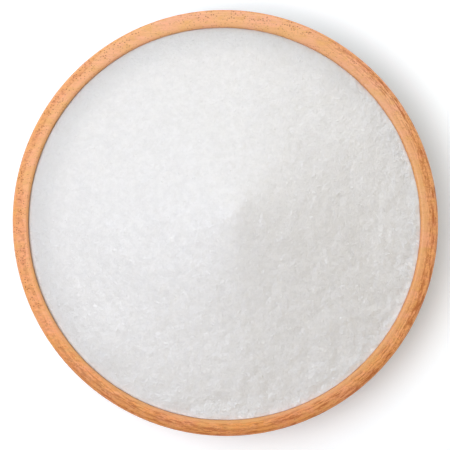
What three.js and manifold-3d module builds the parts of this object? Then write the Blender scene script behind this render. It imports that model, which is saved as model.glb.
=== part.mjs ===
// A small turned wooden bowl, filled and heaped with crystalline fructose.
// Millimetres, +Z up. The origin is the centre of the base, on the surface that the bowl stands on.
// +X is the right and +Y the top of the bowl as seen from straight above.
import * as THREE from "three";
import { mergeVertices } from "three/addons/utils/BufferGeometryUtils.js";
import Module from "manifold-3d";

// Bowl
const RIM_RADIUS = 60;
const BOWL_HEIGHT = 42;
const LIP_WIDTH = 4.8;
const LIP_OUTER_ROUND = 1.4;
const LIP_INNER_ROUND = 0.8;
const LIP_SLOPE = THREE.MathUtils.degToRad(8); // the top of the lip falls outwards
const UPRIGHT_BAND = 5; // height of the upright wall below the top of the lip
const FOOT_RADIUS = 34;
const FOOT_EASE = 1; // height of the eased edge round the foot
const FOOT_RING_WIDTH = 8;
const RECESS_DEPTH = 1.2; // of the turned hollow under the base
const FLOOR_HEIGHT = 7.5; // inside floor above the standing surface
const HOLLOW_FULLNESS = 2.8; // exponent of the inside curve: 2 is an ellipse, more is squarer
const SIDE_STEPS = 9;
const OUTER_ROUND_STEPS = 4;
const INNER_ROUND_STEPS = 2;
const AROUND = 64;

// Heap of fructose
const FIT_GAP = 0.3; // between the fructose and the wood
const FILL_BELOW_RIM = 2.2; // the heap's slope meets the wall this far below the top of the lip
const BANK_HEIGHT = 0.6; // by which crystals bank up where they meet the wall
const BANK_WIDTH = 4.2;
const REPOSE_ANGLE = THREE.MathUtils.degToRad(21.9);
const TIP = new THREE.Vector2(0.5, 0.35); // the tip stands a little off the bowl's axis
const TIP_SOFTNESS = 2; // radius over which the tip of the heap is rounded
const DRIFTS = [
  { size: 19, height: 0.45 },
  { size: 8.5, height: 0.22 },
]; // soft drifts left where the grains slid down
const SMOOTH_NEAR_TIP = 12; // the drifts fade out within this distance of the tip
const GRAIN_RELIEF = 0.3; // height of the grainy relief
const ROUGHER_AT_WALL = 1.6; // coarse grains roll down, so the relief grows towards the wall
const UNEVEN_SPACING = 0.25; // shift of the relief's points, as a share of their spacing
const HEAP_RINGS = 29;
const TRIM_MARGIN = 3; // the heap is shaped this much too large and trimmed to the bowl's hollow

// Loose crystals lying on the heap
const CRYSTALS = 96;
const CRYSTAL_LENGTH = [0.8, 1.25];
const CRYSTAL_SLIMNESS = [0.6, 0.95]; // width as a share of length, and depth of width
const PRISM_EVERY = 3; // every third crystal is a six-sided prism, the others are blocks
const PRISM_TAPER = 0.8;
const CRYSTAL_SINK = 0.25; // the middle lies this much below the surface, as a share of the width
const CRYSTAL_TO_WALL = 1; // least distance to the wall

const INNER_RADIUS = RIM_RADIUS - LIP_WIDTH;
const UPRIGHT_FROM = BOWL_HEIGHT - UPRIGHT_BAND;
const FILL_HEIGHT = BOWL_HEIGHT - FILL_BELOW_RIM;
const REPOSE_SLOPE = Math.tan(REPOSE_ANGLE);
const HEAP_RISE = REPOSE_SLOPE * softReach(INNER_RADIUS);
const FULL_TURN = 2 * Math.PI;
const QUARTER_TURN = Math.PI / 2;
const GOLDEN_ANGLE = Math.PI * (3 - Math.sqrt(5));
const MERGE_DISTANCE = 1e-4;

const wasm = await Module();
wasm.setup();

const between = ([low, high], share) => low + (high - low) * share;

// Random numbers from 0 to 1 that are the same in every run.
function seededRandom(seed) {
  let state = seed;
  return () => {
    state = (state + 0x6d2b79f5) | 0;
    let mixed = Math.imul(state ^ (state >>> 15), 1 | state);
    mixed = (mixed + Math.imul(mixed ^ (mixed >>> 7), 61 | mixed)) ^ mixed;
    return ((mixed ^ (mixed >>> 14)) >>> 0) / 2 ** 32;
  };
}

// A fixed value from -1 to 1 for each point of a square lattice.
function latticeValue(i, j) {
  const wave = Math.sin(i * 12.9898 + j * 78.233) * 43758.5453;
  return 2 * (wave - Math.floor(wave)) - 1;
}

// The lattice values, joined smoothly.
function smoothNoise(x, y) {
  const [i, j] = [Math.floor(x), Math.floor(y)];
  const [u, v] = [x - i, y - j].map((t) => t * t * (3 - 2 * t));
  const near = between([latticeValue(i, j), latticeValue(i + 1, j)], u);
  const far = between([latticeValue(i, j + 1), latticeValue(i + 1, j + 1)], u);
  return between([near, far], v);
}

// Points of a round arc in the profile plane, both ends included.
function arc(centreR, centreZ, radius, fromAngle, toAngle, steps) {
  return Array.from({ length: steps + 1 }, (_, i) => {
    const angle = between([fromAngle, toAngle], i / steps);
    return new THREE.Vector2(
      centreR + radius * Math.cos(angle),
      centreZ + radius * Math.sin(angle),
    );
  });
}

// The outside, from the foot up to where the wall stands upright.
function outerSide() {
  const across = RIM_RADIUS - FOOT_RADIUS;
  const up = UPRIGHT_FROM - FOOT_EASE;
  const radius = (across ** 2 + up ** 2) / (2 * across);
  const footAngle = -Math.asin(up / radius);
  return arc(RIM_RADIUS - radius, UPRIGHT_FROM, radius, footAngle, 0, SIDE_STEPS);
}

// The inside, from the upright wall down to the middle of the floor, drawn in by inset.
function innerSide(inset) {
  const radius = INNER_RADIUS - inset;
  const depth = UPRIGHT_FROM - FLOOR_HEIGHT - inset;
  const power = 2 / HOLLOW_FULLNESS;
  return Array.from({ length: SIDE_STEPS + 1 }, (_, i) => {
    const angle = (i / SIDE_STEPS) * QUARTER_TURN;
    const across = i < SIDE_STEPS ? Math.cos(angle) ** power : 0;
    const down = Math.sin(angle) ** power;
    return new THREE.Vector2(radius * across, UPRIGHT_FROM - depth * down);
  });
}

// The lip: a rounded outer edge, a top that falls outwards, and a rounded inner edge.
function roundedLip() {
  const upTo = QUARTER_TURN - LIP_SLOPE;
  const inR = INNER_RADIUS + LIP_INNER_ROUND;
  const outR = RIM_RADIUS - LIP_OUTER_ROUND;
  const topWidth = outR + LIP_OUTER_ROUND * Math.cos(upTo) - inR;
  const topEdge = BOWL_HEIGHT - topWidth * Math.tan(LIP_SLOPE);
  const outZ = topEdge - LIP_OUTER_ROUND * Math.sin(upTo);
  const inZ = BOWL_HEIGHT - LIP_INNER_ROUND;
  return [
    ...arc(outR, outZ, LIP_OUTER_ROUND, 0, upTo, OUTER_ROUND_STEPS),
    ...arc(inR, inZ, LIP_INNER_ROUND, QUARTER_TURN, Math.PI, INNER_ROUND_STEPS),
  ];
}

// The bowl's half section, from the middle of the underside round to the middle of the floor.
function bowlProfile() {
  const recessEdge = FOOT_RADIUS - FOOT_RING_WIDTH;
  return [
    new THREE.Vector2(0, RECESS_DEPTH),
    new THREE.Vector2(recessEdge - RECESS_DEPTH, RECESS_DEPTH),
    new THREE.Vector2(recessEdge, 0),
    new THREE.Vector2(FOOT_RADIUS - FOOT_EASE, 0),
    ...outerSide(),
    ...roundedLip(),
    ...innerSide(0),
  ];
}

// Turns a profile of (radius, height) points about the Z axis.
function turned(profile) {
  return new THREE.LatheGeometry(profile, AROUND).rotateX(QUARTER_TURN);
}

// A closed geometry as a solid that can be joined and cut.
function solidOf(geometry) {
  const bare = new THREE.BufferGeometry()
    .setAttribute("position", geometry.getAttribute("position"))
    .setIndex(geometry.index);
  const merged = mergeVertices(bare, MERGE_DISTANCE);
  return new wasm.Manifold(
    new wasm.Mesh({
      numProp: 3,
      vertProperties: merged.attributes.position.array,
      triVerts: new Uint32Array(merged.index.array),
    }),
  );
}

function geometryOf(solid) {
  const { vertProperties, triVerts, numProp } = solid.getMesh();
  const geometry = new THREE.BufferGeometry()
    .setAttribute("position", new THREE.BufferAttribute(vertProperties, numProp))
    .setIndex(new THREE.BufferAttribute(triVerts, 1));
  geometry.computeVertexNormals();
  return geometry;
}

// Distance from the tip of the heap, eased to nothing over the rounded tip.
function softReach(reach) {
  return Math.hypot(reach, TIP_SOFTNESS) - TIP_SOFTNESS;
}

// Rise of the crystals that bank up against the wall.
function bankHeight(x, y) {
  const toWall = Math.max(0, INNER_RADIUS - Math.hypot(x, y));
  return BANK_HEIGHT * Math.max(0, 1 - toWall / BANK_WIDTH) ** 2;
}

// Height of the heap without its grains: a cone at the angle of repose, with soft drifts.
function heapHeight(x, y) {
  const reach = Math.hypot(x - TIP.x, y - TIP.y);
  const cone = FILL_HEIGHT + HEAP_RISE - REPOSE_SLOPE * softReach(reach);
  const fade = Math.min(1, reach / SMOOTH_NEAR_TIP);
  return DRIFTS.reduce(
    (z, { size, height }) => z + fade * height * smoothNoise(x / size, y / size),
    cone + bankHeight(x, y),
  );
}

// Points of the grainy top, in rings of 6, 12, 18 ... round the tip.
function heapTop(blockRadius) {
  const random = seededRandom(11);
  const either = (size) => size * (2 * random() - 1);
  const points = [TIP.x, TIP.y, heapHeight(TIP.x, TIP.y)];
  for (let ring = 1; ring <= HEAP_RINGS; ring++) {
    const outermost = ring === HEAP_RINGS;
    for (let k = 0; k < 6 * ring; k++) {
      const shift = outermost ? 0 : either(UNEVEN_SPACING);
      const reach = (blockRadius * (ring + shift)) / HEAP_RINGS;
      const angle = ((k + either(UNEVEN_SPACING)) / (6 * ring)) * FULL_TURN;
      const x = TIP.x + reach * Math.cos(angle);
      const y = TIP.y + reach * Math.sin(angle);
      const rough = between([1, ROUGHER_AT_WALL], (reach / blockRadius) ** 3);
      points.push(x, y, heapHeight(x, y) + either(GRAIN_RELIEF * rough));
    }
  }
  return points;
}

// Triangles of a block: a disc of rings of 6, 12, 18 ... points, its skirt and its flat underside.
function ringedBlockFaces(rings) {
  const firstOf = (ring) => (ring === 0 ? 0 : 1 + 3 * ring * (ring - 1));
  const point = (ring, k) => firstOf(ring) + (ring === 0 ? 0 : k % (6 * ring));
  const faces = [];
  for (let ring = 1; ring <= rings; ring++)
    for (let side = 0; side < 6; side++)
      for (let k = 0; k < ring; k++) {
        const outer = side * ring + k;
        const inner = side * (ring - 1) + k;
        faces.push(point(ring, outer), point(ring, outer + 1), point(ring - 1, inner));
        if (k < ring - 1)
          faces.push(
            point(ring, outer + 1),
            point(ring - 1, inner + 1),
            point(ring - 1, inner),
          );
      }
  const edge = 6 * rings;
  const [top, bottom] = [firstOf(rings), firstOf(rings) + edge];
  const middle = bottom + edge;
  for (let k = 0; k < edge; k++) {
    const next = (k + 1) % edge;
    faces.push(top + k, bottom + k, bottom + next);
    faces.push(top + k, bottom + next, top + next);
    faces.push(bottom + k, middle, bottom + next);
  }
  return faces;
}

// A round block with the grainy heap as its top, standing at the origin's height.
function heapBlock() {
  const points = heapTop(INNER_RADIUS + TRIM_MARGIN);
  const edge = points.slice(-3 * 6 * HEAP_RINGS);
  for (let k = 0; k < edge.length; k += 3) points.push(edge[k], edge[k + 1], 0);
  points.push(TIP.x, TIP.y, 0);
  return new THREE.BufferGeometry()
    .setAttribute("position", new THREE.Float32BufferAttribute(points, 3))
    .setIndex(ringedBlockFaces(HEAP_RINGS));
}

// The space open to the fructose: the bowl's hollow less the gap, and straight up from it.
function fillSpace() {
  const top = FILL_HEIGHT + HEAP_RISE + TRIM_MARGIN;
  return turned([
    ...innerSide(FIT_GAP).reverse(),
    new THREE.Vector2(INNER_RADIUS - FIT_GAP, top),
    new THREE.Vector2(0, top),
  ]);
}

function crystal(isPrism, random) {
  const length = between(CRYSTAL_LENGTH, random());
  const width = length * between(CRYSTAL_SLIMNESS, random());
  const depth = width * between(CRYSTAL_SLIMNESS, random());
  const shape = isPrism
    ? new THREE.CylinderGeometry((PRISM_TAPER * width) / 2, width / 2, length, 6)
    : new THREE.BoxGeometry(width, length, depth);
  const [turnX, turnY, turnZ] = [random(), random(), random()].map((t) => t * Math.PI);
  shape.rotateX(turnX).rotateY(turnY).rotateZ(turnZ);
  return { shape, sink: CRYSTAL_SINK * width };
}

// Crystals spread evenly over the heap by a sunflower rule, half sunk in it.
function looseCrystals() {
  const random = seededRandom(5);
  const widest = INNER_RADIUS - CRYSTAL_LENGTH[1] - CRYSTAL_TO_WALL;
  const solids = Array.from({ length: CRYSTALS }, (_, i) => {
    const { shape, sink } = crystal(i % PRISM_EVERY === 0, random);
    const reach = widest * Math.sqrt((i + random()) / CRYSTALS);
    const angle = i * GOLDEN_ANGLE;
    const [x, y] = [reach * Math.cos(angle), reach * Math.sin(angle)];
    return solidOf(shape.translate(x, y, heapHeight(x, y) + GRAIN_RELIEF / 2 - sink));
  });
  return wasm.Manifold.union(solids);
}

// One solid: the heap with its crystals, less any crystal that lies loose of it.
function fructoseGeometry() {
  const core = solidOf(heapBlock()).intersect(solidOf(fillSpace()));
  const bodies = core.add(looseCrystals()).decompose();
  bodies.sort((one, other) => other.volume() - one.volume());
  return geometryOf(bodies[0]);
}

function named(name, geometry, material) {
  const mesh = new THREE.Mesh(geometry, material);
  mesh.name = name;
  return mesh;
}

const wood = new THREE.MeshStandardMaterial({
  color: 0xe0a272,
  roughness: 0.6,
  metalness: 0,
});
const whiteCrystals = new THREE.MeshStandardMaterial({
  color: 0xeeedeb,
  roughness: 0.55,
  metalness: 0,
});

const bowlOfFructose = new THREE.Group();
bowlOfFructose.add(named("bowl", turned(bowlProfile()), wood));
bowlOfFructose.add(named("fructose", fructoseGeometry(), whiteCrystals));

export default bowlOfFructose;
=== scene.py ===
"""A turned wooden bowl heaped with crystalline fructose, seen from almost straight above.

The bowl is a finely turned mesh with solid wood grain. The heap is a grainy core covered with
single crystals of four kinds. All lengths are metres unless a comment says otherwise.
"""

import math

import bpy
import numpy as np
from mathutils import Matrix, Vector


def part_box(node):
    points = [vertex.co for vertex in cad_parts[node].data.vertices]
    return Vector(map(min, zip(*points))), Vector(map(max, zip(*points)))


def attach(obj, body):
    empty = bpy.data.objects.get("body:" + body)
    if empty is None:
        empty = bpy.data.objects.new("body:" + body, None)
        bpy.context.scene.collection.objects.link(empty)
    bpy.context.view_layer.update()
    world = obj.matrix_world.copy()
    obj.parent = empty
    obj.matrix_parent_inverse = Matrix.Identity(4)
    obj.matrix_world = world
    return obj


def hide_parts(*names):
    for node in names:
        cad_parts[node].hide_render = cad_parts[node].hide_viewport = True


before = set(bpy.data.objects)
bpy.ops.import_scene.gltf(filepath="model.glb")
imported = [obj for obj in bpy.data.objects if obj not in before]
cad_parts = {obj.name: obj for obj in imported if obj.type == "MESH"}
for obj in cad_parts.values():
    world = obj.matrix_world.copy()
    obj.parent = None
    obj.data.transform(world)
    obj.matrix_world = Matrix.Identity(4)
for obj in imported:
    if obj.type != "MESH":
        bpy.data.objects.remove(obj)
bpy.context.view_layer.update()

MM = 0.001

# ---------------------------------------------------------------- sizes of the bowl
bowl_low, bowl_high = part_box("bowl")
RIM_RADIUS = (bowl_high.x - bowl_low.x) / 2
BOWL_HEIGHT = bowl_high.z
LIP_WIDTH = 4.8 * MM
LIP_OUTER_ROUND = 1.4 * MM
LIP_INNER_ROUND = 0.8 * MM
LIP_SLOPE = math.radians(8)
UPRIGHT_BAND = 5 * MM
FOOT_RADIUS = 34 * MM
FOOT_EASE = 1 * MM
FOOT_RING_WIDTH = 8 * MM
RECESS_DEPTH = 1.2 * MM
FLOOR_HEIGHT = 7.5 * MM
HOLLOW_FULLNESS = 2.8
INNER_RADIUS = RIM_RADIUS - LIP_WIDTH
UPRIGHT_FROM = BOWL_HEIGHT - UPRIGHT_BAND
HOLLOW_SHIFT = Vector((-0.40, -0.36)) * MM  # the hollow was turned slightly off the rim's middle
# in how many stretches the bowl is drawn: around, and along the parts of its profile
BOWL_AROUND = 480
OUTSIDE_STEPS = 44
LIP_EDGE_STEPS = 12
LIP_TOP_STEPS = 6
LIP_INNER_STEPS = 8
INSIDE_STEPS = 26

# ---------------------------------------------------------------- sizes of the heap
FILL_BELOW_RIM = 2.7 * MM
FILL_HEIGHT = BOWL_HEIGHT - FILL_BELOW_RIM
REPOSE_ANGLE = math.radians(22.3)
REPOSE_SLOPE = math.tan(REPOSE_ANGLE)
BANK_HEIGHT = 1.4 * MM  # by which crystals bank up where they meet the wall
BANK_WIDTH = 8.0 * MM
TIP = Vector((0.5, 0.35)) * MM
TIP_SOFTNESS = 2 * MM
# sizes and depths of the heap's gentle waves and of its clumps
DRIFTS = ((19 * MM, 0.45 * MM), (8.5 * MM, 0.22 * MM))
CLUMPS = ((5.5 * MM, 0.09 * MM), (2.8 * MM, 0.08 * MM), (1.4 * MM, 0.055 * MM))
SMOOTH_NEAR_TIP = 12 * MM
COARSE_SIDE = Vector((0.7, -0.7))  # the heap is coarser towards this side
COARSE_REACH = 32 * MM  # and evenly so from here outwards
COARSE_MEAN = 1.2
COARSE_SPAN = 0.8
COARSER_BY_WALL = 0.3
COARSE_WALL_WIDTH = 16 * MM
CORE_GAP = 0.06 * MM
CORE_RINGS = 158
CORE_SIDE_ROWS = 7
GRAIN_SIZE = 0.62 * MM
GRAIN_RELIEF = 0.11 * MM
GRAIN_STRAY = 0.4  # how far a grain strays from its place in the rows, in shares of its size
GRAIN_LIFT = (0.65, 0.35)  # its mean height and how far that varies, in shares of the relief

# ---------------------------------------------------------------- loose crystals
CRYSTAL_MEDIAN = 0.58 * MM
CRYSTAL_SPREAD = 0.24
CRYSTAL_LIMITS = (0.30 * MM, 1.05 * MM)
COARSER_AT_WALL = 0.30
CRYSTAL_KEPT_IN = 0.55  # how far its middle keeps from the wall, in shares of its length
CRYSTAL_STRAY = 0.02  # radians by which it strays from the sunflower rule
CRYSTAL_CORNER_SHIFT = 0.07
CRYSTAL_TILT = 0.13  # radians that the lying crystals lean, as a standard deviation
CRYSTAL_PROUD = (-0.03 * MM, 0.12 * MM)  # heights of their top faces over the heap
SLOPE_STEP = 0.25 * MM  # over which the slope under a crystal is measured
TOSSED_SHARE = 0.045
TOSSED_TILT = 1.0
TOSSED_PROUD = 0.16 * MM
FACET_SHARE = 0.38  # how far the facets keep their own shading
GOLDEN_ANGLE = math.pi * (3 - math.sqrt(5))


# ================================================================ shapes
def arc(centre_r, centre_z, radius, start, end, steps):
    """Points of a round arc in the profile plane, both ends included."""
    angles = np.linspace(start, end, steps + 1)
    return np.column_stack((centre_r + radius * np.cos(angles), centre_z + radius * np.sin(angles)))


def line(start, end, steps):
    """Points of a straight stretch of profile, without its ends."""
    share = np.linspace(0, 1, steps + 1)[1:-1, None]
    return np.array(start) * (1 - share) + np.array(end) * share


def outer_side():
    """The outside, from the foot up to where the wall stands upright."""
    across = RIM_RADIUS - FOOT_RADIUS
    up = UPRIGHT_FROM - FOOT_EASE
    radius = (across**2 + up**2) / (2 * across)
    foot_angle = -math.asin(up / radius)
    return arc(RIM_RADIUS - radius, UPRIGHT_FROM, radius, foot_angle, 0, OUTSIDE_STEPS)


def inner_side(inset, steps):
    """The inside, from the upright wall down to the middle of the floor, drawn in by inset."""
    angles = np.linspace(0, math.pi / 2, steps + 1)
    power = 2 / HOLLOW_FULLNESS
    across = np.append(np.cos(angles[:-1]) ** power, 0)
    down = np.sin(angles) ** power
    depth = UPRIGHT_FROM - FLOOR_HEIGHT - inset
    return np.column_stack(((INNER_RADIUS - inset) * across, UPRIGHT_FROM - depth * down))


def rounded_lip():
    """The lip: a rounded outer edge, a top that falls outwards, and a rounded inner edge."""
    up_to = math.pi / 2 - LIP_SLOPE
    in_r = INNER_RADIUS + LIP_INNER_ROUND
    in_z = BOWL_HEIGHT - LIP_INNER_ROUND
    out_r = RIM_RADIUS - LIP_OUTER_ROUND
    top_width = out_r + LIP_OUTER_ROUND * math.cos(up_to) - in_r
    top_edge = BOWL_HEIGHT - top_width * math.tan(LIP_SLOPE)
    out_z = top_edge - LIP_OUTER_ROUND * math.sin(up_to)
    outer = arc(out_r, out_z, LIP_OUTER_ROUND, 0, up_to, LIP_EDGE_STEPS)
    inner = arc(in_r, in_z, LIP_INNER_ROUND, math.pi / 2, math.pi, LIP_INNER_STEPS)
    return np.vstack((outer, line(outer[-1], inner[0], LIP_TOP_STEPS), inner))


def bowl_profile():
    """The bowl's half section, from the middle of the underside to the middle of the floor.

    The second value says how far each point goes along with the shift of the hollow.
    """
    recess_edge = FOOT_RADIUS - FOOT_RING_WIDTH
    foot = np.array(
        (
            (0, RECESS_DEPTH),
            (recess_edge - RECESS_DEPTH, RECESS_DEPTH),
            (recess_edge, 0),
            (FOOT_RADIUS - FOOT_EASE, 0),
        )
    )
    outside = np.vstack((foot, outer_side()))
    lip = rounded_lip()
    inside = inner_side(0, INSIDE_STEPS)
    across_lip = np.clip((RIM_RADIUS - lip[:, 0]) / LIP_WIDTH, 0, 1)
    follows = np.concatenate((np.zeros(len(outside)), across_lip, np.ones(len(inside))))
    return np.vstack((outside, lip, inside)), follows


def mesh_piece(name, points, faces, smooth):
    """A mesh object from an array of points and one or more arrays of faces."""
    mesh = bpy.data.meshes.new(name)
    sizes = np.concatenate([np.full(len(group), group.shape[1]) for group in faces])
    corners = np.concatenate([group.ravel() for group in faces])
    starts = np.concatenate(((0,), np.cumsum(sizes)[:-1]))
    mesh.vertices.add(len(points))
    mesh.vertices.foreach_set("co", points.astype(np.float32).ravel())
    mesh.loops.add(len(corners))
    mesh.loops.foreach_set("vertex_index", corners.astype(np.int32))
    mesh.polygons.add(len(sizes))
    mesh.polygons.foreach_set("loop_start", starts.astype(np.int32))
    mesh.polygons.foreach_set("use_smooth", np.full(len(sizes), smooth))
    mesh.update(calc_edges=True)
    mesh.validate()
    piece = bpy.data.objects.new(name, mesh)
    bpy.context.scene.collection.objects.link(piece)
    return piece


def turned(name, profile, follows, around):
    """A closed mesh turned about Z from a profile that starts and ends on the axis."""
    rings = profile[1:-1]
    angles = np.arange(around) * 2 * math.pi / around
    circle = np.column_stack((np.cos(angles), np.sin(angles)))
    across = rings[:, None, :1] * circle[None] + follows[1:-1, None, None] * HOLLOW_SHIFT
    height = np.broadcast_to(rings[:, None, 1:], (len(rings), around, 1))
    points = np.concatenate((across, height), axis=2).reshape(-1, 3)
    poles = np.array(((0, 0, profile[0, 1]), (*HOLLOW_SHIFT, profile[-1, 1])))
    here = np.arange(around)
    after = (here + 1) % around
    rows = np.arange(len(rings) - 1)[:, None] * around
    quads = np.stack((rows + here, rows + after, rows + around + after, rows + around + here), 2)
    last = (len(rings) - 1) * around
    under = np.column_stack((np.full(around, len(points)), after, here))
    floor = np.column_stack((last + here, last + after, np.full(around, len(points) + 1)))
    return mesh_piece(name, np.vstack((points, poles)), [quads.reshape(-1, 4), under, floor], True)


# ================================================================ heap of fructose
# numbers without a pattern, which make a lattice's values differ from point to point
LATTICE_WAVES = (12.9898, 78.233)
LATTICE_SPREAD = 43758.5453
# steps along the lattice, so that a grain's place and its height come from other points of it
GRAIN_PLACE_STEPS = (57, -31)
GRAIN_LIFT_STEPS = (-83, 19)


def lattice_value(i, j):
    """A fixed value from -1 to 1 for each point of a square lattice."""
    wave = np.sin(i * LATTICE_WAVES[0] + j * LATTICE_WAVES[1]) * LATTICE_SPREAD
    return 2 * (wave - np.floor(wave)) - 1


def smooth_noise(x, y):
    """The lattice values, joined smoothly."""
    i, j = np.floor(x), np.floor(y)
    u, v = (t * t * (3 - 2 * t) for t in (x - i, y - j))
    near = lattice_value(i, j) * (1 - u) + lattice_value(i + 1, j) * u
    far = lattice_value(i, j + 1) * (1 - u) + lattice_value(i + 1, j + 1) * u
    return near * (1 - v) + far * v


def soft_reach(reach):
    """Distance from the tip of the heap, eased to nothing over the rounded tip."""
    return np.hypot(reach, TIP_SOFTNESS) - TIP_SOFTNESS


HEAP_RISE = REPOSE_SLOPE * soft_reach(INNER_RADIUS)


def coarseness(x, y):
    """How coarse the heap is: least on its upper left, more on its lower right and by the wall."""
    side = np.clip((x * COARSE_SIDE.x + y * COARSE_SIDE.y) / COARSE_REACH, -1, 1)
    by_wall = np.clip(1 - (INNER_RADIUS - np.hypot(x, y)) / COARSE_WALL_WIDTH, 0, 1)
    return (COARSE_MEAN + COARSE_SPAN * side) * (1 + COARSER_BY_WALL * by_wall)


def unevenness(x, y):
    """Height of the drifts and clumps over the even cone."""
    fade = np.minimum(1, np.hypot(x - TIP.x, y - TIP.y) / SMOOTH_NEAR_TIP)
    coarse = coarseness(x, y)
    height = np.zeros_like(x)
    for size, depth in DRIFTS:
        height += fade * depth * smooth_noise(x / size, y / size)
    for size, depth in CLUMPS:
        height += coarse * depth * smooth_noise(y / size, x / size)
    return height


def heap_height(x, y):
    """Height of the heap without its grains: an uneven cone, banked at the wall."""
    reach = np.hypot(x - TIP.x, y - TIP.y)
    height = FILL_HEIGHT + HEAP_RISE - REPOSE_SLOPE * soft_reach(reach) + unevenness(x, y)
    to_wall = np.clip(INNER_RADIUS - np.hypot(x - HOLLOW_SHIFT.x, y - HOLLOW_SHIFT.y), 0, None)
    return height + BANK_HEIGHT * np.clip(1 - to_wall / BANK_WIDTH, 0, None) ** 2


def grain_relief(x, y):
    """Relief from 0 to 1 of rounded grains of about one size, each at its own height."""
    mean_lift, lift_span = GRAIN_LIFT
    over_b, over_a = GRAIN_PLACE_STEPS
    lift_a, lift_b = GRAIN_LIFT_STEPS
    across, along = x / GRAIN_SIZE, y / GRAIN_SIZE
    i, j = np.floor(across), np.floor(along)
    relief = np.zeros_like(x)
    for beside in (-1, 0, 1):
        for beyond in (-1, 0, 1):
            a, b = i + beside, j + beyond
            middle_x = a + 0.5 + GRAIN_STRAY * lattice_value(a, b)
            middle_y = b + 0.5 + GRAIN_STRAY * lattice_value(b + over_b, a + over_a)
            away = np.hypot(across - middle_x, along - middle_y)
            lift = mean_lift + lift_span * lattice_value(a + lift_a, b + lift_b)
            relief = np.maximum(relief, lift * np.sqrt(np.clip(1 - away**2, 0, 1)))
    return relief


def ring_faces(rings):
    """Triangles of a disc of one point and rings of 6, 12, 18 ... points."""
    faces = []
    for ring in range(1, rings + 1):
        first = 1 + 3 * ring * (ring - 1)
        inner_first = 1 + 3 * (ring - 1) * (ring - 2) if ring > 1 else 0
        side, step = np.divmod(np.arange(6 * ring), ring)
        outer = first + side * ring + step
        outer_next = first + (side * ring + step + 1) % (6 * ring)
        inner_count = max(1, 6 * (ring - 1))
        inner = inner_first + (side * (ring - 1) + step) % inner_count
        inner_next = inner_first + (side * (ring - 1) + step + 1) % inner_count
        faces.append(np.column_stack((outer, outer_next, inner)))
        within = step < ring - 1
        faces.append(np.column_stack((outer_next, inner_next, inner))[within])
    return np.vstack(faces)


def round_the_hollow(reach, angle):
    """X and Y of points at these distances and directions from the middle of the hollow."""
    return HOLLOW_SHIFT.x + reach * np.cos(angle), HOLLOW_SHIFT.y + reach * np.sin(angle)


def heap_core():
    """The body of the heap: a grainy top, and a side and underside that follow the hollow."""
    radius = INNER_RADIUS - CORE_GAP
    ring = np.repeat(np.arange(1, CORE_RINGS + 1), 6 * np.arange(1, CORE_RINGS + 1))
    place = np.concatenate([np.arange(6 * k) / (6 * k) for k in range(1, CORE_RINGS + 1)])
    reach = np.append(0, ring * radius / CORE_RINGS)
    angle = np.append(0, place * 2 * math.pi)
    x, y = round_the_hollow(reach, angle)
    height = heap_height(x, y) + GRAIN_RELIEF * (grain_relief(x, y) - 1)
    top = np.column_stack((x, y, height))
    edge_count = 6 * CORE_RINGS
    edge = np.arange(edge_count) * 2 * math.pi / edge_count
    rows = inner_side(CORE_GAP, CORE_SIDE_ROWS)[:-1]
    sides = [np.column_stack((*round_the_hollow(r, edge), np.full(edge_count, z))) for r, z in rows]
    middle = np.array(((*HOLLOW_SHIFT, FLOOR_HEIGHT + CORE_GAP),))
    points = np.vstack((top, *sides, middle))
    first_edge = len(top) - edge_count
    here = np.arange(edge_count)
    after = (here + 1) % edge_count
    starts = first_edge + np.arange(len(rows))[:, None] * edge_count
    below = starts + edge_count
    quads = np.stack((starts + here, below + here, below + after, starts + after), 2).reshape(-1, 4)
    last = first_edge + len(rows) * edge_count
    under = np.column_stack((last + after, last + here, np.full(edge_count, len(points) - 1)))
    return mesh_piece("fructose_core", points, [ring_faces(CORE_RINGS), quads, under], True)


# ---------------------------------------------------------------- single crystals
def outline(sides, turn):
    """Points of a regular outline of radius one half."""
    angles = (np.arange(sides) + turn) * 2 * math.pi / sides
    return 0.5 * np.column_stack((np.cos(angles), np.sin(angles)))


def prism(sides, width, depth, turn=0.0, taper=1.0):
    """A straight crystal of unit length: its points and its faces."""
    flat = outline(sides, turn) * (width, depth)
    low = np.column_stack((flat, np.full(sides, -0.5)))
    high = np.column_stack((flat * taper, np.full(sides, 0.5)))
    here = np.arange(sides)
    after = (here + 1) % sides
    walls = np.column_stack((here, after, after + sides, here + sides))
    ends = np.vstack((here[::-1], here + sides))
    return np.vstack((low, high)), [walls, ends]


def pointed(width, depth, shoulder):
    """A square crystal of unit length with a low pyramid at each end."""
    body, (walls, _) = prism(4, width, depth, turn=0.5)
    body[:, 2] *= shoulder
    tips = np.array(((0, 0, -0.5), (0, 0, 0.5)))
    here = np.arange(4)
    after = (here + 1) % 4
    foot = np.column_stack((after, here, np.full(4, 8)))
    head = np.column_stack((here + 4, after + 4, np.full(4, 9)))
    return np.vstack((body, tips)), [walls, foot, head]


# name, shape, how far its upper face lies from its middle for a length of 1, number, seed
CRYSTAL_KINDS = (
    ("fructose_blocks", prism(4, 1.15, 0.95, turn=0.5, taper=0.95), 0.40, 13000, 1),
    ("fructose_prisms", prism(6, 0.72, 0.6, turn=0.5, taper=0.9), 0.31, 7000, 2),
    ("fructose_wedges", prism(3, 0.95, 0.85, turn=1.5, taper=0.8), 0.22, 14000, 3),
    ("fructose_points", pointed(0.85, 0.7, shoulder=0.6), 0.30, 8000, 4),
)


def unit(vectors):
    """The vectors, each brought to length 1."""
    return vectors / np.linalg.norm(vectors, axis=1, keepdims=True)


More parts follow.
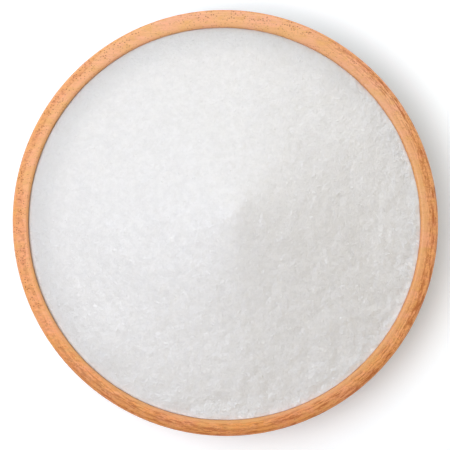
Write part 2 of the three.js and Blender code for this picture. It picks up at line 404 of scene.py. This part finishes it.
def slope_normals(x, y):
    """Directions square to the heap's slope, without its bank and grains."""
    reach = np.hypot(x, y)
    steepness = REPOSE_SLOPE * np.minimum(1, reach / (2 * TIP_SOFTNESS)) / np.maximum(reach, MM)
    step = SLOPE_STEP
    rise_x = (unevenness(x + step, y) - unevenness(x - step, y)) / (2 * step)
    rise_y = (unevenness(x, y + step) - unevenness(x, y - step)) / (2 * step)
    return unit(np.column_stack((x * steepness - rise_x, y * steepness - rise_y, np.ones_like(x))))


def lying_turns(rng, slope, tilt):
    """Rotations that lay crystals on the slope: local X up from it, local Z any way along it."""
    count = len(slope)
    up = unit(slope + tilt[:, None] * rng.normal(size=(count, 3)))
    along = rng.normal(size=(count, 3))
    along = unit(along - up * (along * up).sum(1, keepdims=True))
    return np.stack((up, np.cross(along, up), along), axis=2)


def scattered_crystals(name, shape, half_thickness, count, seed):
    """Crystals of one kind, spread over the heap by a sunflower rule and joined in one mesh."""
    rng = np.random.default_rng(seed)
    shape_points, shape_faces = shape
    share = (np.arange(count) + rng.random(count)) / count
    length = np.clip(rng.lognormal(math.log(CRYSTAL_MEDIAN), CRYSTAL_SPREAD, count), *CRYSTAL_LIMITS)
    length *= 1 + COARSER_AT_WALL * share**3
    reach = (INNER_RADIUS - CORE_GAP - CRYSTAL_KEPT_IN * length) * np.sqrt(share)
    angle = np.arange(count) * GOLDEN_ANGLE + seed + rng.normal(0, CRYSTAL_STRAY, count)
    x, y = round_the_hollow(reach, angle)
    coarse = coarseness(x, y)
    tossed = rng.random(count) < TOSSED_SHARE * np.minimum(coarse, 1)
    proud = rng.uniform(*CRYSTAL_PROUD, count) + tossed * TOSSED_PROUD
    z = heap_height(x, y) + proud - half_thickness * length
    shift = rng.uniform(-CRYSTAL_CORNER_SHIFT, CRYSTAL_CORNER_SHIFT, (count, *shape_points.shape))
    local = (shape_points[None] + shift) * length[:, None, None]
    slope = slope_normals(x, y)
    turns = lying_turns(rng, slope, np.where(tossed, TOSSED_TILT, CRYSTAL_TILT * np.sqrt(coarse)))
    turned_points = np.einsum("nij,nkj->nki", turns, local)
    points = (turned_points + np.column_stack((x, y, z))[:, None]).reshape(-1, 3)
    offsets = np.arange(count)[:, None, None] * len(shape_points)
    faces = [(group[None] + offsets).reshape(-1, group.shape[1]) for group in shape_faces]
    piece = mesh_piece(name, points, faces, False)
    soften_facets(piece, points, faces, np.repeat(slope, len(shape_points), axis=0))
    return piece


def soften_facets(piece, points, faces, slope):
    """Bends the facets' shading towards the slope, as light passing through clear crystals does."""
    bent = []
    for group in faces:
        first, second, third = (points[group[:, k]] for k in range(3))
        facet = unit(np.cross(second - first, third - first))
        mixed = unit(FACET_SHARE * facet + (1 - FACET_SHARE) * slope[group[:, 0]])
        bent.append(np.repeat(mixed, group.shape[1], axis=0))
    piece.data.normals_split_custom_set(np.vstack(bent))


# ================================================================ materials
class Graph:
    """The shader nodes of one material, fed by numbers, colours or other nodes' outputs."""

    def __init__(self, name):
        self.material = bpy.data.materials.new(name)
        self.material.use_nodes = True
        self.tree = self.material.node_tree
        self.tree.nodes.clear()
        self.shader = self.add("BsdfPrincipled")
        output = self.add("OutputMaterial")
        self.tree.links.new(self.shader.outputs["BSDF"], output.inputs["Surface"])
        spot = self.add("TexCoord").outputs["Object"]
        self.place = self.vector("SCALE", spot, scale=1 / MM)

    def add(self, kind, inputs=None, **settings):
        """A node of that kind with its settings made and its inputs fed."""
        made = self.tree.nodes.new("ShaderNode" + kind)
        for key, value in settings.items():
            setattr(made, key, value)
        for key, value in (inputs or {}).items():
            self.feed(made.inputs[key], value)
        return made

    def feed(self, socket, value):
        """Links an output to the socket, or sets the socket to a value."""
        if isinstance(value, bpy.types.NodeSocket):
            self.tree.links.new(value, socket)
        else:
            socket.default_value = value

    def shade(self, **inputs):
        """Feeds the shader's own sockets, named with _ for a space."""
        for key, value in inputs.items():
            self.feed(self.shader.inputs[key.replace("_", " ")], value)

    def vector(self, operation, first, second=None, scale=None):
        """The result of a vector operation, a number for a length or a dot product."""
        made = self.add("VectorMath", {0: first}, operation=operation)
        if second is not None:
            self.feed(made.inputs[1], second)
        if scale is not None:
            self.feed(made.inputs["Scale"], scale)
        return made.outputs["Value" if operation in ("LENGTH", "DOT_PRODUCT") else "Vector"]

    def across(self, place):
        """Distance from the axis."""
        return self.vector("LENGTH", self.vector("MULTIPLY", place, (1, 1, 0)))

    def towards(self, side):
        """How far the place lies towards a side."""
        return self.vector("DOT_PRODUCT", self.place, side)

    def math(self, operation, first, second=0.0, third=0.0, clamp=False):
        """The result of an operation on numbers."""
        inputs = {0: first, 1: second, 2: third}
        return self.add("Math", inputs, operation=operation, use_clamp=clamp).outputs[0]

    def total(self, first, *others):
        """All of them added up."""
        for other in others:
            first = self.math("ADD", first, other)
        return first

    def product(self, first, *others):
        """All of them multiplied."""
        for other in others:
            first = self.math("MULTIPLY", first, other)
        return first

    def noise(self, grain, detail=2.0, roughness=0.5, place=None, output="Fac"):
        """Noise from 0 to 1; grain is its frequency per millimetre along X, Y and Z."""
        spot = self.vector("MULTIPLY", place or self.place, grain)
        inputs = {"Vector": spot, "Scale": 1.0, "Detail": detail, "Roughness": roughness}
        return self.add("TexNoise", inputs).outputs[output]

    def cells(self, grain, output="Distance", place=None):
        """Distance to the middle of the nearest cell, or its colour."""
        spot = self.vector("MULTIPLY", place or self.place, grain)
        return self.add("TexVoronoi", {"Vector": spot, "Scale": 1.0}).outputs[output]

    def cell_value(self, grain, place=None):
        """A value from 0 to 1 that is the same all over a cell."""
        return self.add("SeparateColor", {0: self.cells(grain, "Color", place)}).outputs[0]

    def step(self, value, low, high, start=0.0, end=1.0):
        """value eased from start to end as it goes from low to high."""
        inputs = {"Value": value, "From Min": low, "From Max": high, "To Min": start, "To Max": end}
        made = self.add("MapRange", inputs, interpolation_type="SMOOTHSTEP")
        return made.outputs["Result"]

    def mix(self, share, first, second, blend="MIX"):
        """The first colour, with a share of the second laid over it."""
        inputs = {0: share, 6: first, 7: second}
        return self.add("Mix", inputs, data_type="RGBA", blend_type=blend).outputs[2]

    def bump(self, height, distance, strength):
        """Fine relief of that height, without a change of shape."""
        inputs = {"Height": height, "Distance": distance, "Strength": strength}
        return self.add("Bump", inputs).outputs["Normal"]


# ---------------------------------------------------------------- wood
# Lengths are millimetres here. A GRAIN is a noise's frequency per millimetre along X, Y and Z.
# A STEP is the numbers of Graph.step: where it begins and ends and, if not 0 and 1, its values.
# WOOD_LIGHT and WOOD_DEEP are the ends of painted light and shade across the bowl; WOOD_DEEP is also
# the late wood's colour
WOOD_LIGHT = (0.90, 0.495, 0.287, 1)
WOOD_DEEP = (0.88, 0.365, 0.115, 1)
WOOD_GOLD = (0.84, 0.45, 0.17, 1)
WOOD_PINK = (0.94, 0.47, 0.265, 1)
# colour of the painted shade on the lip's inner edge
WOOD_INSIDE_SHADE = (0.74, 0.38, 0.175, 1)
# colour of the painted shade on the lip's lower outer edge
WOOD_EDGE_SHADE = (0.50, 0.18, 0.05, 1)
WOOD_LINE = (0.42, 0.105, 0.018, 1)
WOOD_PORE = (0.34, 0.08, 0.013, 1)
WANDER_GRAIN = (0.02, 0.05, 0.05)  # the slow wander of all the wood's figure
WANDER_MEAN = (0.5, 0.5, 0.5)
LIP_FROM = 39.5  # height above which all is lip
LIP_STEP = (3.5, 0.5)  # distances below it over which the lip's own marks set in

PAINTED_LIGHT_SIDE = (0.30 / 120, 0.95 / 120, 0)  # painted light and shade: the wood is lighter towards this side, where the light falls, and deeper away from it, in shares per millimetre
LIGHT_IN_MIDDLE = 0.5
DRIFT_GRAIN = (0.02, 0.07, 0.07)
DRIFT_STEP = (0.25, 0.75, -0.16, 0.16)
MOTTLE_GRAIN = (0.35, 0.6, 0.6)
PINK_STEP = (0.50, 0.62, 0.0, 0.40)
GOLD_STEP = (0.48, 0.37, 0.0, 0.50)
SPECK_GRAIN = (2.2, 3.2, 3.2)
SPECK_STEP = (0.58, 0.72, 0.0, 0.20)
FIBRE_GRAIN = (0.12, 2.4, 2.4)
FIBRE_STEP = (0.45, 0.72, 0.0, 0.16)
PATCH_GRAIN = (0.10, 0.22, 0.22)
PATCH_STEP = (0.38, 0.62)
TINT_GOLD = (1.0, 1.0, 0.84, 1)
TINT_PINK = (1.02, 0.965, 0.99, 1)

LAYER_SPACING = 2.6  # between growth layers
LAYER_EDGE = 41.83  # the height of the layer edge that the lip cuts
LAYER_BOW = 1.6e-4  # how the layers rise with the square of the distance from the middle
LAYER_ARCH = 1.2e-4  # by how much more they do, for each millimetre below the lip
LAYER_GRAIN = (0.006, 0.02, 0.09)
LAYER_UNEVEN_STEP = (0.3, 0.7, -0.06, 0.06)  # rise or fall for each millimetre below the lip
LATE_WOOD_STEP = (0.30, 0.97, 0.0, 0.38)  # how the colour deepens through a layer
LAYER_LINE_STEP = (0.84, 0.95, 0.0, 0.36)  # and the line that it ends in
BREAK_GRAIN = (0.8, 1.3, 1.3)
BREAK_STEP = (0.40, 0.62)

# the lip's grains run along the rim, across it and up
LIP_MIDDLE = 58.0
STREAK_GRAIN = (0.5, 3.4, 0.3)
STREAK_STEP = (0.36, 0.56)
STROKE_GRAIN = (0.28, 2.1, 0.3)
STROKE_STEP = (0.51, 0.61, 0.0, 0.80)
WAVE_GRAIN = (0.5, 0.5, 0.5)
WAVE_STEP = (0.2, 0.8, -0.3, 0.3)
# lines that the turning left on the lip: distance from the axis, half width, strength
TURNED_LINES = ((56.6, 0.3, 0.32), (57.3, 0.3, 0.42), (58.2, 0.4, 0.6), (59.4, 0.3, 0.5))
MARKED_FROM_STEP = (39.6, 40.4)  # heights over which the lines and strokes set in
MARKED_SIDE = (0.75, -0.66, 0)  # where they show most
MARKED_SIDE_STEP = (-26.0, 14.0, 0.1, 1.0)
INNER_LIP = (55.8, 58.2)  # distances from the axis over which strokes come to their full strength
INNER_STROKE_STEP = (0.0, -45.0, 0.12, 0.62)  # their strength at its inner edge, by Y
LOW_EDGE_SHADE_STEP = (57.4, 58.2)  # painted shade on the lip's outer edge, by distance from the axis
LOW_EDGE_SHADE_SIDE_STEP = (-30.0, -46.0, 0.0, 0.4)  # and by Y, on the lower side, away from the lamps
INSIDE_SHADE_STEP = (56.8, 55.9)  # painted shade on the lip's inner edge
INSIDE_SHADE_PALE_SIDE = (0.6, 0.8, 0)  # where that painted shade is palest
INSIDE_SHADE_SIDE_STEP = (-45.0, 45.0, 0.85, 0.35)

PORE_GRAIN = (1.6, 2.2, 2.2)
PORE_SIZE_STEP = (0.42, 0.26)
PORE_PICK_STEP = (0.38, 0.50)
PORE_ROOM_GRAIN = (0.22, 0.4, 0.4)
PORE_ROOM_STEP = (0.36, 0.54)
PORES_EVERYWHERE = 0.5
PORES_ON_LIP_STEP = (56.6, 58.0, 0.0, 0.4)
PORES_BY_MARKS = (-0.55, 1.05)  # they are fewer on the side where the marks show
PORE_SHADE = 0.85

MARK_DENT = 0.5
FIBRE_RELIEF = 0.35
WOOD_BUMP = (0.08 * MM, 0.6)
WOOD_ROUGHNESS_STEP = (0.2, 0.8, 0.50, 0.62)
WOOD_SHINE = 0.5


class Wood(Graph):
    """The wood's nodes, with the places and masks that its layers of colour share."""

    def __init__(self):
        super().__init__("turned_wood")
        wander = self.noise(WANDER_GRAIN, detail=3.0, output="Color")
        self.bent = self.vector("ADD", self.place, self.vector("SUBTRACT", wander, WANDER_MEAN))
        split = self.add("SeparateXYZ", {0: self.bent})
        self.x, self.y, self.z = (split.outputs[axis] for axis in "XYZ")
        self.radius = self.across(self.bent)
        self.below_lip = self.math("MAXIMUM", self.math("SUBTRACT", LIP_FROM, self.z), 0.0)
        self.near_lip = self.step(self.below_lip, *LIP_STEP)
        self.marked_side = self.step(self.towards(MARKED_SIDE), *MARKED_SIDE_STEP)
        self.fibres = self.noise(FIBRE_GRAIN, detail=3.0, roughness=0.6, place=self.bent)


def layer_phase(g):
    """How far up a place lies within its growth layer, from 0 to 1."""
    bend = g.math("MULTIPLY_ADD", g.below_lip, LAYER_ARCH, LAYER_BOW)
    bow = g.product(g.y, g.y, bend)
    uneven = g.product(g.below_lip, g.step(g.noise(LAYER_GRAIN), *LAYER_UNEVEN_STEP))
    level = g.total(g.z, uneven, bow, -LAYER_EDGE)
    return g.math("FRACT", g.math("DIVIDE", level, LAYER_SPACING))


def grown_colour(g):
    """The wood with painted light, lighter towards the top and deeper towards the bottom, and as it
    grew, with its mottle, specks, fibres and growth layers.
    """
    # painted light and shade: lighter towards the lit top, deeper towards the bottom
    light = g.total(g.towards(PAINTED_LIGHT_SIDE), LIGHT_IN_MIDDLE)
    drift = g.step(g.noise(DRIFT_GRAIN), *DRIFT_STEP)
    colour = g.mix(g.math("ADD", light, drift, clamp=True), WOOD_DEEP, WOOD_LIGHT)
    mottle = g.noise(MOTTLE_GRAIN)
    colour = g.mix(g.step(mottle, *PINK_STEP), colour, WOOD_PINK)
    colour = g.mix(g.step(mottle, *GOLD_STEP), colour, WOOD_GOLD)
    colour = g.mix(g.step(g.noise(SPECK_GRAIN, detail=1.0), *SPECK_STEP), colour, WOOD_PORE)
    phase = layer_phase(g)
    colour = g.mix(g.step(phase, *LATE_WOOD_STEP), colour, WOOD_DEEP)
    colour = g.mix(g.step(g.fibres, *FIBRE_STEP), colour, WOOD_LINE)
    broken = g.step(g.noise(BREAK_GRAIN, detail=4.0, roughness=0.6), *BREAK_STEP)
    return g.mix(g.product(g.step(phase, *LAYER_LINE_STEP), broken), colour, WOOD_LINE)


def turning_marks(g):
    """Dark lines and strokes that the turning left on the lip, from 0 to 1."""
    along = g.product(g.math("ARCTAN2", g.y, g.x), LIP_MIDDLE)
    round_place = g.add("CombineXYZ", {0: along, 1: g.radius, 2: g.z}).outputs[0]
    streaks, strokes = (
        g.step(g.noise(grain, detail=3.0, roughness=0.6, place=round_place), *limits)
        for grain, limits in ((STREAK_GRAIN, STREAK_STEP), (STROKE_GRAIN, STROKE_STEP))
    )
    wavy = g.total(g.radius, g.step(g.noise(WAVE_GRAIN), *WAVE_STEP))
    lines = 0.0
    for line_radius, half_width, strength in TURNED_LINES:
        away = g.math("ABSOLUTE", g.math("SUBTRACT", wavy, line_radius))
        lines = g.math("MAXIMUM", lines, g.step(away, half_width, 0.0, 0.0, strength))
    inner_strength = g.step(g.y, *INNER_STROKE_STEP)
    strokes = g.product(strokes, g.step(g.radius, *INNER_LIP, inner_strength, 1.0))
    marks = g.math("MAXIMUM", g.product(lines, streaks), strokes)
    return g.product(marks, g.step(g.z, *MARKED_FROM_STEP), g.marked_side)


def lip_colour(g, colour, marks):
    """The colour with painted shade on the lip's lower outer edge and on its inner edge, and with
    its turning marks.
    """
    # painted shade on the lip's outer edge, on the lower side away from the lamps
    low_edge_shade = g.product(g.step(g.radius, *LOW_EDGE_SHADE_STEP), g.step(g.y, *LOW_EDGE_SHADE_SIDE_STEP))
    colour = g.mix(g.product(low_edge_shade, g.near_lip), colour, WOOD_EDGE_SHADE)
    colour = g.mix(marks, colour, WOOD_LINE)
    # painted shade on the lip's inner edge, deepest on the lower left
    inside = g.step(g.towards(INSIDE_SHADE_PALE_SIDE), *INSIDE_SHADE_SIDE_STEP)
    inside = g.product(inside, g.near_lip, g.step(g.radius, *INSIDE_SHADE_STEP))
    return g.mix(inside, colour, WOOD_INSIDE_SHADE)


def wood_pores(g):
    """Small dark pores in loose groups, most of them on the lip, from 0 to 1."""
    on_lip = g.product(g.near_lip, g.step(g.radius, *PORES_ON_LIP_STEP))
    room = g.step(g.noise(PORE_ROOM_GRAIN), *PORE_ROOM_STEP)
    room = g.product(room, g.total(on_lip, PORES_EVERYWHERE))
    room = g.product(room, g.math("MULTIPLY_ADD", g.marked_side, *PORES_BY_MARKS))
    picked = g.step(g.cell_value(PORE_GRAIN, g.bent), *PORE_PICK_STEP)
    return g.product(g.step(g.cells(PORE_GRAIN, place=g.bent), *PORE_SIZE_STEP), room, picked)


def wood_material():
    """Orange-tan hardwood, its fibres along X and its growth layers nearly level."""
    g = Wood()
    marks = turning_marks(g)
    pores = wood_pores(g)
    colour = lip_colour(g, grown_colour(g), marks)
    tint = g.mix(g.step(g.noise(PATCH_GRAIN), *PATCH_STEP), TINT_GOLD, TINT_PINK)
    colour = g.mix(1.0, colour, tint, "MULTIPLY")
    dents = g.total(pores, g.product(marks, MARK_DENT))
    relief = g.math("SUBTRACT", g.product(g.fibres, FIBRE_RELIEF), dents)
    g.shade(
        Base_Color=g.mix(g.product(pores, PORE_SHADE), colour, WOOD_PORE),
        Roughness=g.step(g.fibres, *WOOD_ROUGHNESS_STEP),
        Specular_IOR_Level=WOOD_SHINE,
        Normal=g.bump(relief, *WOOD_BUMP),
    )
    return g.material


# ---------------------------------------------------------------- fructose
CRYSTAL_WHITE = (0.896, 0.893, 0.891, 1)
CRYSTAL_SHADE = (0.815, 0.813, 0.811, 1)
CRYSTAL_WALL_SHADE = (0.735, 0.745, 0.75, 1)  # painted shade of the wall on the heap along its foot
WALL_SHADE_REACH_STEP = (45.0, 55.2)  # millimetres from the axis
WALL_SHADE_SIDE = (-0.7, 0.7, 0)  # deepest on this side, the upper left
WALL_SHADE_SIDE_STEP = (-45.0, 45.0, 0.25, 1.0)
TONE_GRAIN = (1.6, 1.6, 1.6)
TONE_STEP = (0.0, 1.0, 0.0, 0.4)
CLOUD_GRAIN = (0.5, 0.5, 0.5)
CLOUD_STEP = (0.3, 0.7, 0.0, 0.5)
SURFACE_GRAIN = (5.0, 5.0, 5.0)
SURFACE_STRENGTH = 0.5
ROUGHNESS_SPAN = 0.25
LIGHT_REACH = (0.7 * MM, 0.68 * MM, 0.62 * MM)  # of red, green and blue light in the crystals
CRYSTAL_SHINE = 0.45
# roughness, relief, and the share of the light that passes through
CORE_LOOK = (0.5, 0.05 * MM, 0.6)
LOOSE_LOOK = (0.32, 0.02 * MM, 0.15)


def fructose_material(name, roughness, relief, depth):
    """White crystals: a milky body with small differences from grain to grain, and painted shade
    along the wall.
    """
    g = Graph(name)
    grain_tone = g.cell_value(TONE_GRAIN)
    clouds = g.step(g.noise(CLOUD_GRAIN, detail=4.0), *CLOUD_STEP)
    share = g.total(g.step(grain_tone, *TONE_STEP), clouds)
    colour = g.mix(share, CRYSTAL_WHITE, CRYSTAL_SHADE)
    # painted shade of the wall on the heap, deepest on the upper left
    wall_shade_side = g.step(g.towards(WALL_SHADE_SIDE), *WALL_SHADE_SIDE_STEP)
    wall_shade = g.product(g.step(g.across(g.place), *WALL_SHADE_REACH_STEP), wall_shade_side)
    g.shade(
        Base_Color=g.mix(wall_shade, colour, CRYSTAL_WALL_SHADE),
        Roughness=g.step(grain_tone, 0.0, 1.0, roughness, roughness + ROUGHNESS_SPAN),
        Subsurface_Weight=depth,
        Subsurface_Radius=LIGHT_REACH,
        Subsurface_Scale=1.0,
        Specular_IOR_Level=CRYSTAL_SHINE,
        Normal=g.bump(g.noise(SURFACE_GRAIN), relief, SURFACE_STRENGTH),
    )
    return g.material


# ---------------------------------------------------------------- floor
FLOOR_HALF_SIDE = 3.0
FLOOR_TONES = ((0.86, 0.97, 0.99, 1), (0.88, 0.98, 0.995, 1))
FLOOR_GRAIN = (0.02, 0.02, 0.02)
FLOOR_STEP = (0.2, 0.8)
FLOOR_ROUGHNESS = 0.8
# strength of the floor's painted glow, which lights it though it is no lamp
FLOOR_GLOW = 0.38
GLOW_NEAR = (0.01, 0.11, 0.32, 1)  # its colour by the bowl, a blue that cools the bowl's shadow
GLOW_FAR = (0.64, 0.63, 0.76, 1)  # and away from it
NO_GLOW = (0, 0, 0, 1)
GLOW_MIDDLE = (7.4, 5.2, 0)  # millimetres; the bowl's shade falls to this side
GLOW_STEP = (58.5, 73.0)  # millimetres from there, over which the glow grows
BESIDE_BOWL_STEP = (46.0, 59.0)  # millimetres from the bowl's middle; there is no glow under it


def floor_material():
    """A plain white table with a faint unevenness, lit by its own painted glow, a little brighter
    away from the bowl, which shapes the bowl's shadow.
    """
    g = Graph("pale_floor")
    from_middle = g.vector("LENGTH", g.vector("SUBTRACT", g.place, GLOW_MIDDLE))
    glow = g.mix(g.step(from_middle, *GLOW_STEP), GLOW_NEAR, GLOW_FAR)
    beside = g.step(g.vector("LENGTH", g.place), *BESIDE_BOWL_STEP)
    g.shade(
        Base_Color=g.mix(g.step(g.noise(FLOOR_GRAIN), *FLOOR_STEP), *FLOOR_TONES),
        Roughness=FLOOR_ROUGHNESS,
        Emission_Color=g.mix(beside, NO_GLOW, glow),
        Emission_Strength=FLOOR_GLOW,
    )
    return g.material


# ================================================================ light and camera
ROOM_ABOVE = (0.25, 0.18, 0.06, 1)  # the warm dim light of the room from above
BACKDROP = (0.95, 0.95, 0.95, 1)  # and the pale backdrop around the horizon
BACKDROP_TOP = (math.radians(8), math.radians(16))  # elevations over which the backdrop fades
# name, azimuth and elevation in degrees, distance and diameter in metres, watts, colour
LAMPS = (
    ("lamp_left", 190, 70.5, 1.1, 0.55, 8.9, (0.835, 0.885, 1.0)),
    ("softbox_top", 85, 34, 1.0, 1.15, 4.2, (0.875, 0.93, 0.99)),
    ("window_left", 200, 36, 1.2, 0.8, 0.55, (0.20, 0.50, 1.0)),
)
CAMERA_TILT = math.radians(6)
CAMERA_TOWARDS = math.radians(217)  # the camera leans to the lower left
CAMERA_DISTANCE = 525 * MM
CAMERA_LENS = 150.0  # in millimetres
CAMERA_SENSOR = 36.0  # its width in millimetres
CAMERA_SIGHT = 20.0
AIM = Vector((-0.8 * MM, -1.1 * MM, BOWL_HEIGHT))
UP = Vector((0, 0, 1))
PICTURE_TOP = Vector((0, 1, 0))


def direction(azimuth, elevation):
    """The unit vector towards an azimuth and elevation."""
    level = math.cos(elevation)
    return Vector((level * math.cos(azimuth), level * math.sin(azimuth), math.sin(elevation)))


def aimed(thing, place, target, up):
    """Puts a lamp or camera at a place, looking at the target with up at the top."""
    back = (place - target).normalized()
    right = up.cross(back).normalized()
    turn = Matrix((right, back.cross(right), back)).transposed()
    thing.matrix_world = Matrix.Translation(place) @ turn.to_4x4()


def add_camera():
    """The camera, almost straight above the bowl."""
    data = bpy.data.cameras.new("camera")
    data.lens = CAMERA_LENS
    data.sensor_width = CAMERA_SENSOR
    data.clip_end = CAMERA_SIGHT
    camera = bpy.data.objects.new("camera", data)
    bpy.context.scene.collection.objects.link(camera)
    towards = direction(CAMERA_TOWARDS, math.pi / 2 - CAMERA_TILT)
    aimed(camera, AIM + CAMERA_DISTANCE * towards, AIM, PICTURE_TOP)
    bpy.context.scene.camera = camera


def add_lamp(name, azimuth, elevation, distance, diameter, watts, colour):
    """A round area lamp that faces the bowl."""
    data = bpy.data.lights.new(name, "AREA")
    data.shape = "DISK"
    data.size = diameter
    data.energy = watts
    data.color = colour
    lamp = bpy.data.objects.new(name, data)
    bpy.context.scene.collection.objects.link(lamp)
    target = Vector((0, 0, BOWL_HEIGHT))
    towards = direction(math.radians(azimuth), math.radians(elevation))
    aimed(lamp, target + distance * towards, target, UP)


def add_world():
    """A soft room light from above, and a pale backdrop around the horizon."""
    world = bpy.data.worlds.new("studio")
    world.use_nodes = True
    tree = world.node_tree
    spot = tree.nodes.new("ShaderNodeTexCoord")
    split = tree.nodes.new("ShaderNodeSeparateXYZ")
    fade = tree.nodes.new("ShaderNodeMapRange")
    fade.inputs["From Min"].default_value = math.sin(BACKDROP_TOP[0])
    fade.inputs["From Max"].default_value = math.sin(BACKDROP_TOP[1])
    blend = tree.nodes.new("ShaderNodeMix")
    blend.data_type = "RGBA"
    blend.inputs[6].default_value = BACKDROP
    blend.inputs[7].default_value = ROOM_ABOVE
    tree.links.new(spot.outputs["Generated"], split.inputs[0])
    tree.links.new(split.outputs["Z"], fade.inputs["Value"])
    tree.links.new(fade.outputs["Result"], blend.inputs[0])
    tree.links.new(blend.outputs[2], tree.nodes["Background"].inputs["Color"])
    bpy.context.scene.world = world


def add_floor():
    """The table that the bowl stands on."""
    corners = np.array(((-1, -1, 0), (1, -1, 0), (1, 1, 0), (-1, 1, 0))) * FLOOR_HALF_SIDE
    floor = mesh_piece("floor", corners, [np.array(((0, 1, 2, 3),))], False)
    floor.data.materials.append(floor_material())


# ================================================================ the scene
def add_bowl():
    """The bowl, as one turned piece."""
    bowl = turned("turned_bowl", *bowl_profile(), BOWL_AROUND)
    bowl.data.materials.append(wood_material())
    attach(bowl, "root")
    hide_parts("bowl")


def add_fructose():
    """The heap: its core and the four kinds of loose crystals."""
    core = heap_core()
    core.data.materials.append(fructose_material("fructose_core", *CORE_LOOK))
    loose = fructose_material("fructose_crystals", *LOOSE_LOOK)
    crystals = [scattered_crystals(*kind) for kind in CRYSTAL_KINDS]
    for piece in crystals:
        piece.data.materials.append(loose)
    for piece in (core, *crystals):
        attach(piece, "root")
        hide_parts("fructose")


add_bowl()
add_fructose()
add_floor()
add_world()
for lamp in LAMPS:
    add_lamp(*lamp)
add_camera()
bpy.context.scene.view_settings.view_transform = "Standard"
